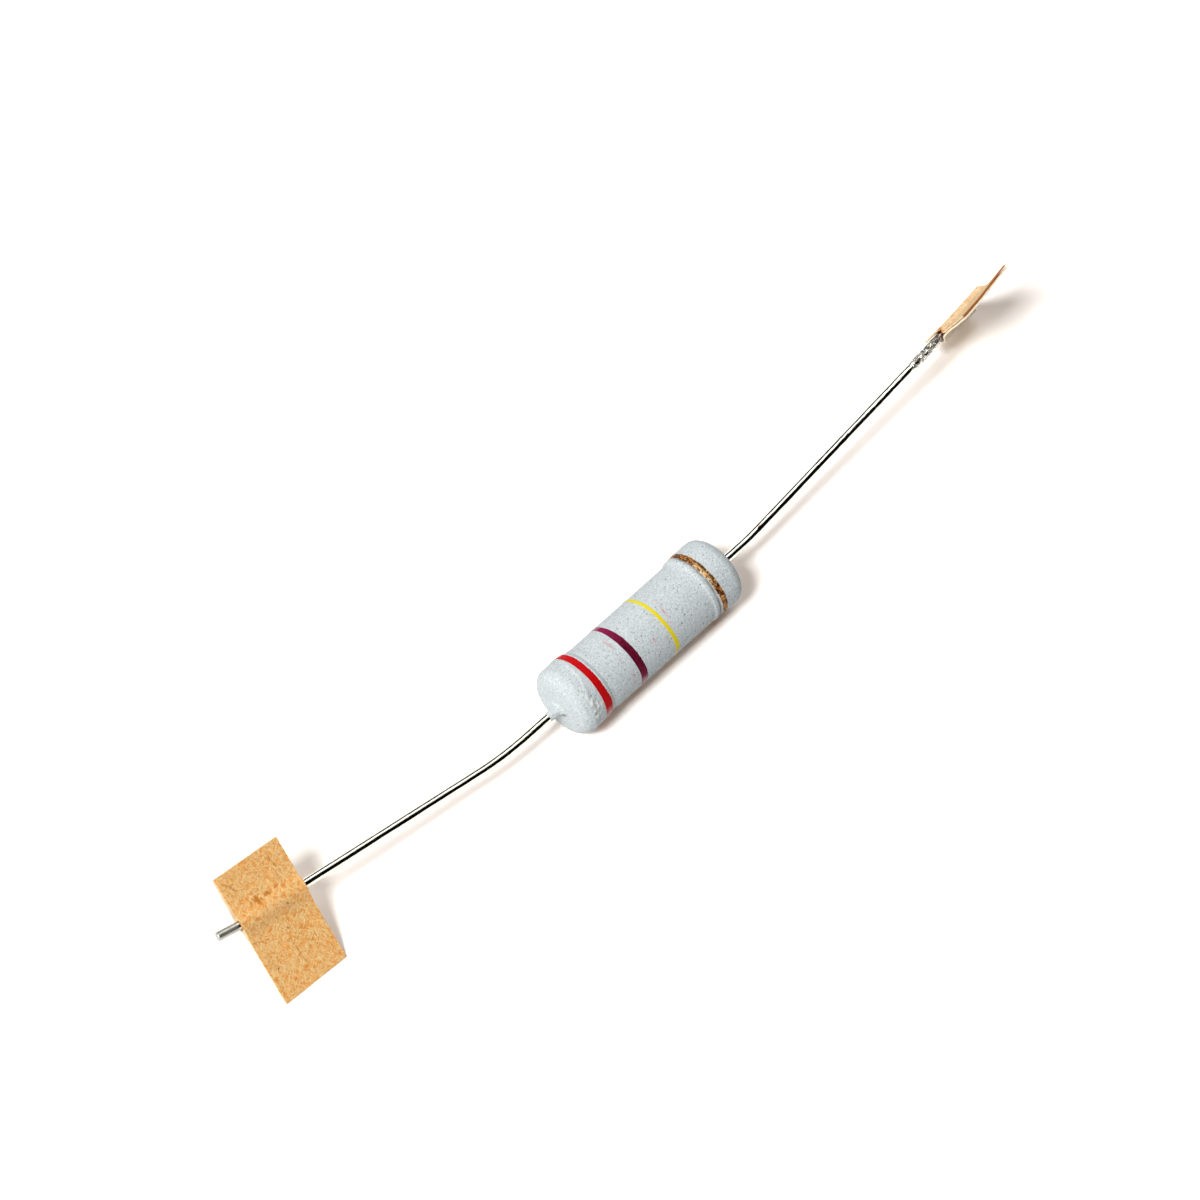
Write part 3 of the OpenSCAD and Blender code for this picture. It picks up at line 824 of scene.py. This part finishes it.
def coatSurface(place):
    # the real surface is a little uneven: slow waves, fine grain, a ledge and a few drips
    s = coatingShape
    radius, angle = aroundBody(place)
    outward = Vector((0, place.y, place.z - axisHeight)).normalized()
    if abs(place.x) > bodyEnd - s["endLength"]:
        lean = Vector((math.copysign(s["endLean"], place.x), 0, 0))
        outward = (outward + lean).normalized()
    rise = sum(height * noise(place * size) for height, size in (s["waves"], s["grain"]))
    for x, lumpAngle, reach, height in s["lumps"]:
        away = (place - bodyPoint(x, lumpAngle, radius)).length
        rise += height * math.exp(-(away / reach) ** 2) * (0.8 + 0.5 * noise(place * 4))
    if s["ledgeZone"][0] < place.x < s["ledgeZone"][1]:
        beyond = place.x - follow(s["ledge"], angle)[0] - 0.05 * noise(place * 1.6)
        fade = math.exp(-max(beyond, 0) / s["ledgeFade"])
        rise += s["ledgeHeight"] * smooth(beyond, *s["ledgeEdge"]) * fade
        x, middle, length, spread, height = s["crust"]
        turn = wrapped(angle - middle)
        share = math.exp(-((place.x - x) / length) ** 2 - (turn / spread) ** 2)
        rise += height * share * (noise(place * 4.5) + 0.6 * noise(place * 8))
    sag = 1 - smooth(abs(place.x), *s["sagEnds"])
    moved = place + outward * rise + Vector(s["waistSag"]) * sag
    if place.x < -bodyEnd - collarShape["start"]:
        moved = raggedCollar(place)
    moved.z = max(moved.z, 0.0)
    return moved


def raggedCollar(place):
    # the collar's end runs out unevenly along the lead
    s = collarShape
    radius, angle = aroundBody(place)
    out = -bodyEnd - s["start"] - place.x
    lean = s["lean"] * math.cos(math.radians(angle - s["leanAngle"]))
    jag = s["jag"] * noise(ringPoint(angle, 3) * 2.5)
    keep = min(max(s["kept"] + lean + jag, s["shortest"]), 1.0)
    hole = wireRadius + coatingShape["clearance"]
    wall = (radius - hole) * (1.0 + s["lumpy"] * noise(place * 3.0))
    if radius > hole + 0.01:
        wall += s["cone"] * max(1 - out / s["coneLength"], 0) * min(out / s["start"], 1)
    scale = (hole + wall) / radius
    return Vector((-bodyEnd - s["start"] - out * keep, place.y * scale,
                   axisHeight + (place.z - axisHeight) * scale))


# colour bands
bandShape = {
    "paint": 0.017, "lift": 0.004, "across": 8, "turnSteps": 280,
    # angle, left edge and right edge, then how far each edge wanders
    "band_red": {"edges": [(-150, -7.10, -6.42), (-88, -7.13, -6.36), (-75, -7.15, -6.36),
                           (-50, -7.12, -6.42), (-20, -7.10, -6.46), (20, -7.10, -6.45),
                           (60, -7.10, -6.48), (120, -7.10, -6.46)],
                 "wander": (0.012, 0.045)},
    "band_violet": {"edges": [(-150, -3.0, -2.38), (-80, -2.9, -2.20), (-40, -3.02, -2.32),
                              (0, -3.08, -2.42), (40, -3.07, -2.62), (100, -3.02, -2.45)],
                    "wander": (0.015, 0.025)},
    "band_yellow": {"edges": [(-150, 0.95, 1.28), (-80, 1.10, 1.50), (-40, 1.0, 1.30),
                              (0, 0.90, 1.23), (40, 0.78, 1.10), (100, 0.85, 1.20)],
                    "wander": (0.012, 0.012)},
    "band_gold": {"edges": [(-150, 6.42, 6.98), (-80, 6.60, 7.07), (-40, 6.45, 7.0),
                            (0, 6.36, 6.95), (40, 6.36, 6.85), (100, 6.36, 6.90)],
                  "wander": (0.02, 0.045)},
}


def makeBand(node):
    s = bandShape
    own = s[node]
    bm = bmesh.new()
    ends = [bm.verts.new((x, 0, bulgeRadius)) for x in (0, 1)]
    edge = bm.edges.new(ends)
    bmesh.ops.subdivide_edges(bm, edges=[edge], cuts=s["across"] - 1)
    spinRound(bm, s["turnSteps"])
    for vert in bm.verts:
        share = vert.co.x
        angle = aroundBody(vert.co)[1]
        left, right = follow(own["edges"], angle)
        ring = ringPoint(angle, 0) * 2
        wander = (noise(ring * 3 + Vector((0, 0, left)))
                  + 0.8 * noise(ring * 9 + Vector((0, 0, right))))
        left += own["wander"][0] * wander
        right += own["wander"][1] * (wander + 0.5 * noise(ring * 14))
        x = left + (right - left) * share
        radius = waistRadius if abs(x) < capMouth - 1 else bulgeAt(x)
        placed = coatSurface(bodyPoint(x, angle, radius))
        out = Vector((0, placed.y, placed.z - axisHeight)).normalized()
        vert.co = placed + out * (s["lift"] + s["paint"])
    bmesh.ops.recalc_face_normals(bm, faces=bm.faces)
    first = bm.faces[:][0]
    centre = first.calc_center_median()
    if first.normal.dot(centre - Vector((centre.x, 0, axisHeight))) < 0:
        bmesh.ops.reverse_faces(bm, faces=bm.faces)
    bmesh.ops.solidify(bm, geom=bm.faces[:], thickness=s["paint"])
    keepAboveSurface(bm)
    color = node.replace("band_", "")
    finishPiece(bm, color + "_band", node, bandPaints[node], 60)


# leads
wireShape = {
    "segments": 32, "step": 0.14, "weldGap": 0.01, "weldRadius": 0.75, "weldThickness": 0.02,
    "weldCone": 0.3,
    # the crust just before the tape on the gold side lies between two places on the wire
    redSide: {"bendStart": 3.65, "bendRadius": 35.0, "bendAngle": 8.7, "bendLift": 27.0,
              "toTape": 17.3, "tip": 0.0, "tapeLean": 42.0, "dents": 0.006, "crust": None},
    goldSide: {"bendStart": 2.45, "bendRadius": 25.0, "bendAngle": 5.4, "bendLift": 57.0,
               "toTape": 23.5, "tip": -0.45, "tapeLean": 114.0, "dents": 0.020,
               "crust": (33.9, 36.8)},
    "crustEdge": 0.12, "crustFade": 0.5, "nick": 0.05,
    # dents set in this far from the body and reach their full depth this much further
    "dentsFrom": 4, "dentsGrow": 10,
    "kinkAngle": 5.0, "kinkRadius": 4.0, "kinkTip": 1.6, "tipRounding": 0.12,
}

tapeShape = {
    "width": 6.2, "kraft": 0.14, "backing": 0.16, "peek": 0.18, "seat": 0.01, "crinkle": 0.035,
    "rowsAcross": 140, "rowsAlong": 84,
    # rows are closer together to this far from the lead, and a share of them is beyond it
    "fine": 1.3, "coarseRows": 0.3,
    # how far the backing's top edge has come off, and how far the kraft stands off the lead
    "flare": 0.05, "flareFrom": (4.4, 6.6), "mouth": 0.16,
    # top edge at the inner and outer end, then inner and outer edge at the foot and the top
    redSide: {"top": (4.47, 4.18), "inner": (-0.40, 0.25), "outer": (5.79, 6.47), "torn": None,
              "curl": 0.0, "ridge": 0.95, "swell": (0.0, 0.0), "fray": 0.02},
    goldSide: {"top": (6.35, 6.20), "inner": (0.0, 0.0), "outer": (6.1, 5.97), "torn": 3.0,
               "curl": -0.45, "ridge": 0.62, "swell": (0.04, 0.16), "fray": 0.03},
    # centre, half width and amount of what is torn off or left standing at an edge
    "kraft_red": {"inner": [(1.2, 0.3, 0.04), (-3.2, 0.4, 0.03)], "outer": []},
    "backing_red": {"inner": [(-3.5, 3.0, -0.03)], "outer": [(1.8, 3.0, 0.15)]},
    "kraft_gold": {"inner": [(0.0, 0.12, -1.35), (0.5, 0.22, 0.30), (-0.6, 0.4, 0.3),
                             (2.2, 0.5, 0.12)],
                   "outer": [(0.0, 0.75, -0.42), (2.5, 0.6, -0.08)]},
    "backing_gold": {"inner": [(0.6, 0.5, -0.12), (2.6, 0.6, 0.05)],
                     "outer": [(0.3, 1.3, -2.2), (4.0, 1.2, -0.1)]},
}


def weldPlaces():
    # where the weld bead starts, where its cone starts and where the cone ends
    start = capFace + wireShape["weldGap"]
    cone = start + wireShape["weldThickness"]
    return start, cone, cone + wireShape["weldCone"]


def alongBody(side):
    # +Z of this frame runs out along the body's axis
    return Matrix.Translation((0, 0, axisHeight)) @ Matrix.Rotation(side * math.pi / 2, 4, "Y")


def bendFrame(side):
    s = wireShape[side]
    return (alongBody(side) @ Matrix.Rotation(math.radians(90 + side * s["bendLift"]), 4, "Z")
            @ Matrix.Translation((0, 0, bodyEnd + s["bendStart"])))


def pastBend(radius, degrees):
    turn = math.radians(degrees)
    return (Matrix.Translation((radius * (1 - math.cos(turn)), 0, radius * math.sin(turn)))
            @ Matrix.Rotation(turn, 4, "Y"))


def tapeFrame(side, lean):
    # +Z along the lead from the tape's inner edge, +X across the tape, upwards
    s = wireShape[side]
    return (bendFrame(side) @ pastBend(s["bendRadius"], s["bendAngle"])
            @ Matrix.Translation((0, 0, s["toTape"]))
            @ Matrix.Rotation(math.radians(side * (lean - s["bendLift"])), 4, "Z"))


def lastEdges(made):
    return [part for part in made["geom_last"] if isinstance(part, bmesh.types.BMEdge)]


def growStraight(bm, edges, frameNow, length):
    steps = max(1, round(length / wireShape["step"]))
    step = frameNow.to_3x3() @ Vector((0, 0, length / steps))
    return lastEdges(bmesh.ops.spin(bm, geom=edges, cent=(0, 0, 0), axis=(0, 0, 1), dvec=step,
                                    angle=0, steps=steps))


def growBend(bm, edges, frameNow, radius, degrees):
    turn = math.radians(degrees)
    steps = max(3, round(radius * turn / wireShape["step"]))
    centre = frameNow @ Vector((radius, 0, 0))
    axis = frameNow.to_3x3() @ Vector((0, 1, 0))
    return lastEdges(bmesh.ops.spin(bm, geom=edges, cent=centre, axis=axis, angle=turn,
                                    steps=steps))


def makeLead(side, material):
    s, own = wireShape, wireShape[side]
    weld, _, coneEnd = weldPlaces()
    bm = bmesh.new()
    root = alongBody(side) @ Matrix.Translation((0, 0, weld))
    bmesh.ops.create_circle(bm, segments=s["segments"], radius=s["weldRadius"], matrix=root)
    edges = growStraight(bm, bm.edges[:], root, s["weldThickness"])
    edges = growStraight(bm, edges, root, s["weldCone"])
    verts = list({vert for edge in edges for vert in edge.verts})
    shrink = wireRadius / s["weldRadius"]
    middle = sum((vert.co for vert in verts), Vector()) / len(verts)
    bmesh.ops.scale(bm, vec=(1, shrink, shrink), verts=verts, space=Matrix.Translation(-middle))
    edges = growStraight(bm, edges, root, bodyEnd + own["bendStart"] - coneEnd)
    edges = growBend(bm, edges, bendFrame(side), own["bendRadius"], own["bendAngle"])
    after = bendFrame(side) @ pastBend(own["bendRadius"], own["bendAngle"])
    length = own["toTape"] + tapeShape["width"] + tapeShape["peek"] + own["tip"]
    edges = growStraight(bm, edges, after, length)
    if side == redSide:
        kink = tapeFrame(side, 0) @ Matrix.Translation((0, 0, length - own["toTape"]))
        edges = growBend(bm, edges, kink, s["kinkRadius"], s["kinkAngle"])
        kink = kink @ pastBend(s["kinkRadius"], s["kinkAngle"])
        edges = growStraight(bm, edges, kink, s["kinkTip"])
    bmesh.ops.holes_fill(bm, edges=[edge for edge in bm.edges if edge.is_boundary], sides=0)
    bmesh.ops.bevel(bm, geom=edges, offset=s["tipRounding"], segments=4, profile=0.5,
                    affect="EDGES", material=-1)
    roughenWire(bm, side)
    word = sideNames[side]
    finishPiece(bm, word + "_lead_wire", "lead_" + word + "_side", material, 60)


def roughenWire(bm, side):
    # dents grow towards the tape, and a crust starts just before it on the gold side
    s, own = wireShape, wireShape[side]
    start, axis = wireRun(side)
    start = start / mm
    edge = s["crustEdge"]
    for vert in bm.verts:
        out = abs(vert.co.x)
        beyond = out - bodyEnd - s["dentsFrom"]
        if beyond > 0:
            dent = noise(vert.co * 2.6) + 0.6 * noise(vert.co * 6.5)
            across = Vector((0, noise(vert.co * 1.9 + Vector((9, 0, 0))), dent))
            vert.co += across * own["dents"] * 0.5 * min(beyond / s["dentsGrow"], 1)
        if own["crust"] and out > own["crust"][0] - 0.3:
            first, last = own["crust"]
            away = vert.co - start
            outward = (away - axis * away.dot(axis)).normalized()
            amount = smooth(out, first - edge, first + edge) * (
                1 - smooth(out, last, last + s["crustFade"]))
            nick = math.exp(-((out - first + 0.1) / edge) ** 2)
            lump = 0.015 + 0.03 * noise(vert.co * 1.7) + 0.035 * noise(vert.co * 4)
            vert.co += outward * (lump * amount - s["nick"] * nick)


# carrier tape
def makeTape(side, layer, material):
    s = tapeShape
    word = sideNames[side]
    ySide = -1 if layer == "kraft" else 1
    bm = bmesh.new()
    bmesh.ops.create_grid(bm, x_segments=s["rowsAcross"], y_segments=s["rowsAlong"], size=0.5)
    for vert in bm.verts:
        vert.co = sheetPoint(side, layer, ySide, vert.co.x + 0.5, vert.co.y + 0.5)
    bmesh.ops.recalc_face_normals(bm, faces=bm.faces)
    bm.faces.ensure_lookup_table()
    if bm.faces[0].normal.y * ySide < 0:
        bmesh.ops.reverse_faces(bm, faces=bm.faces)
    bmesh.ops.solidify(bm, geom=bm.faces[:], thickness=-s[layer])
    sheet = bm.loops.layers.uv.new("sheet")
    for face in bm.faces:
        for loop in face.loops:
            loop[sheet].uv = (loop.vert.co.z, loop.vert.co.x)
    bmesh.ops.transform(bm, matrix=tapeFrame(side, wireShape[side]["tapeLean"]), verts=bm.verts)
    keepAboveSurface(bm)
    finishPiece(bm, word + "_" + layer + "_tape", layer + "_tape_" + word + "_side",
                material, 40)


def footOf(side, ySide, z):
    # where the sheet's inner face meets the surface, down from the lead
    turn = tapeFrame(side, wireShape[side]["tapeLean"])
    return -(turn[2][1] * ySide * tapeShape["seat"] / 2 + turn[2][2] * z + turn[2][3]) / turn[2][0]


def between(pair, share):
    return pair[0] + (pair[1] - pair[0]) * share


def sheetPoint(side, layer, ySide, across, along):
    # a point of the sheet's inner face, in the tape's own frame
    s, own = tapeShape, tapeShape[side]
    foot = footOf(side, ySide, between((own["inner"][0], own["outer"][0]), along))
    if own["torn"]:
        foot = between((-own["torn"], footOf(side, ySide, s["width"])), along)
    top = between(own["top"], along)
    coarse = s["coarseRows"]
    if across < coarse:
        x = between((foot, -s["fine"]), across / coarse)
    elif across < 1 - coarse:
        x = s["fine"] * (across - 0.5) / (0.5 - coarse)
    else:
        x = between((s["fine"], top), (across - 1 + coarse) / coarse)
    ends = []
    for name, seed in (("inner", 1), ("outer", 5)):
        torn = sum(amount * math.exp(-((x - at) / wide) ** 2)
                   for at, wide, amount in s[layer + "_" + sideNames[side]][name])
        fray = own["fray"] * noise(Vector((x * 3, seed, side)))
        ends.append(between(own[name], (x - foot) / (top - foot)) + torn + fray)
    z = between(ends, along)
    out = z / s["width"]
    flat = s["seat"] / 2
    bump = math.exp(-(x / own["ridge"]) ** 2)
    y = flat + (wireRadius + flat + between(own["swell"], min(max(out, 0), 1))) * bump
    seed = Vector((x, z, ySide * 3 + side * 7))
    y += s["crinkle"] * (0.5 + noise(seed * 0.6)) * (1 - bump) * min(abs(x) / 1.5, 1)
    if side == goldSide and layer == "backing":
        y += s["flare"] * smooth(x, *s["flareFrom"]) * (1 - 0.7 * min(out, 1))
    if side == goldSide and layer == "kraft":
        y += s["mouth"] * math.exp(-((x - 0.45) / 0.4) ** 2 - (max(z, 0) / 0.5) ** 2)
    curl = own["curl"] * max(x / own["top"][0], 0) * max(out, 0) ** 1.5
    return Vector((x, ySide * y + curl, z))


# build
makeCoating()
for bandNode in bandPaints:
    makeBand(bandNode)
for side in sideNames:
    makeLead(side, makeWireMaterial(side))
for side in sideNames:
    makeTape(side, "kraft", makePaperMaterial(sideNames[side] + "KraftPaper"))
    makeTape(side, "backing", backingMaterial)

for name, nodes in (("firedCeramic", ["ceramic_core"]), ("oxideFilm", ["resistive_film"]),
                    ("platedCap", ["end_cap_red_side", "end_cap_gold_side"])):
    material = makeInnerMaterial(name)
    for node in nodes:
        slots = frame["nodes"][node].data.materials
        slots.clear()
        slots.append(material)
print("inner pieces finished")


# studio
studio = {
    "floorSize": 6.0,
    "floorDrop": 0.00001,
    "floorColor": (0.70, 0.70, 0.70, 1),
    "floorSeen": (1.28, 1.26, 1.23, 1),
    "floorLift": (0.08, 0.03, 0.0, 1),
    "worldStrength": 0.005,
    # name: direction to the lamp, distance, width, height, turn in degrees and power
    "lamps": {"key": ((-0.57, -0.09, 0.82), 1.40, 0.36, 0.36, 0, 17.8),
              "sky": ((0.4605, 0.405, 0.790), 1.80, 1.60, 2.10, 27, 12.7),
              "back": ((0.05, 0.82, 0.56), 1.80, 1.80, 0.70, 0, 2.5),
              "front": ((-0.85, 0.10, 0.35), 1.60, 1.00, 1.00, 0, 6.8)},
    # black cards beside the set, seen only in reflections: direction, distance, width, height
    "cards": {"wireCard": ((0.354, -0.612, 0.707), 2.0, 3.5, 3.5),
              "horizonCard": ((0.407, 0.765, 0.5), 1.5, 1.6, 1.05)},
}


def facing(aim, across):
    # turns +Z of a piece towards aim
    return Matrix((across, aim.cross(across), aim)).transposed()


def seenRays(tree):
    # 1 for rays that show the surroundings, 0 for those that carry light to the object
    light = addNode(tree, "LightPath").outputs
    seen = calc(tree, "MAXIMUM", light["Is Camera Ray"], light["Is Glossy Ray"])
    return calc(tree, "MAXIMUM", seen, light["Is Transmission Ray"])


def makeFloor():
    bm = bmesh.new()
    bmesh.ops.create_grid(bm, x_segments=1, y_segments=1, size=studio["floorSize"] / 2)
    bmesh.ops.translate(bm, vec=(0, 0, -studio["floorDrop"]), verts=bm.verts)
    material, tree = newMaterial("paleFloor")
    seen = seenRays(tree)
    color = mixColor(tree, seen, studio["floorColor"], studio["floorSeen"])
    diffuse = addNode(tree, "BsdfDiffuse", {"Color": color})
    lift = addNode(tree, "Emission", {"Color": studio["floorLift"], "Strength": seen})
    both = addNode(tree, "AddShader", {0: diffuse.outputs[0], 1: lift.outputs[0]})
    addNode(tree, "OutputMaterial", {"Surface": both.outputs[0]})
    linkMesh(bm, "floor", material)


def makeCards():
    material, _ = newMaterial("blackCard")
    finishMaterial(material, (0.004, 0.004, 0.004, 1), 1.0, Specular_IOR_Level=0.0)
    for name, (direction, distance, width, height) in studio["cards"].items():
        aim = Vector(direction).normalized()
        turn = facing(aim, Vector((0, 0, 1)).cross(aim).normalized()).to_4x4()
        bm = bmesh.new()
        bmesh.ops.create_grid(bm, x_segments=1, y_segments=1, size=0.5)
        bmesh.ops.scale(bm, vec=(width, height, 1), verts=bm.verts)
        bmesh.ops.transform(bm, matrix=Matrix.Translation(aim * distance) @ turn, verts=bm.verts)
        card = linkMesh(bm, name, material)
        card.visible_camera = card.visible_diffuse = card.visible_shadow = False


def makeLamps():
    for name, (direction, distance, width, height, turn, power) in studio["lamps"].items():
        lamp = bpy.data.lights.new(name, "AREA")
        lamp.shape = "RECTANGLE"
        lamp.size, lamp.size_y = width, height
        lamp.energy = power
        holder = bpy.data.objects.new(name, lamp)
        scene.collection.objects.link(holder)
        aim = Vector(direction).normalized()
        across = Vector((0, 1, 0)).cross(aim).normalized()
        across = Matrix.Rotation(math.radians(turn), 3, aim) @ across
        holder.location = aim * distance
        holder.rotation_euler = facing(aim, across).to_euler()


def makeWorld():
    world = bpy.data.worlds.new("studio")
    scene.world = world
    world.use_nodes = True
    tree = world.node_tree
    back = tree.nodes["Background"]
    back.inputs["Color"].default_value = (1, 1, 1, 1)
    strength = ramp(tree, seenRays(tree), 0, 1, studio["worldStrength"], 1.0)
    tree.links.new(strength, back.inputs["Strength"])


cameraView = {"azimuth": -46.4, "elevation": 57.4, "lens": 176.3, "sensor": 36.0,
              "location": (-0.18573105, -0.17244789, 0.40487195)}


def makeCamera():
    turn, lift = math.radians(cameraView["azimuth"]), math.radians(cameraView["elevation"])
    back = Vector((math.sin(turn) * math.cos(lift), -math.cos(turn) * math.cos(lift),
                   math.sin(lift)))
    data = bpy.data.cameras.new("camera")
    data.lens = cameraView["lens"]
    data.sensor_width = cameraView["sensor"]
    data.clip_start, data.clip_end = 0.01, 20
    camera = bpy.data.objects.new("camera", data)
    scene.collection.objects.link(camera)
    camera.location = cameraView["location"]
    camera.rotation_euler = (-back).to_track_quat("-Z", "Y").to_euler()
    scene.camera = camera


makeFloor()
makeCards()
makeLamps()
makeWorld()
makeCamera()
scene.view_settings.view_transform = "Standard"
print("studio made")
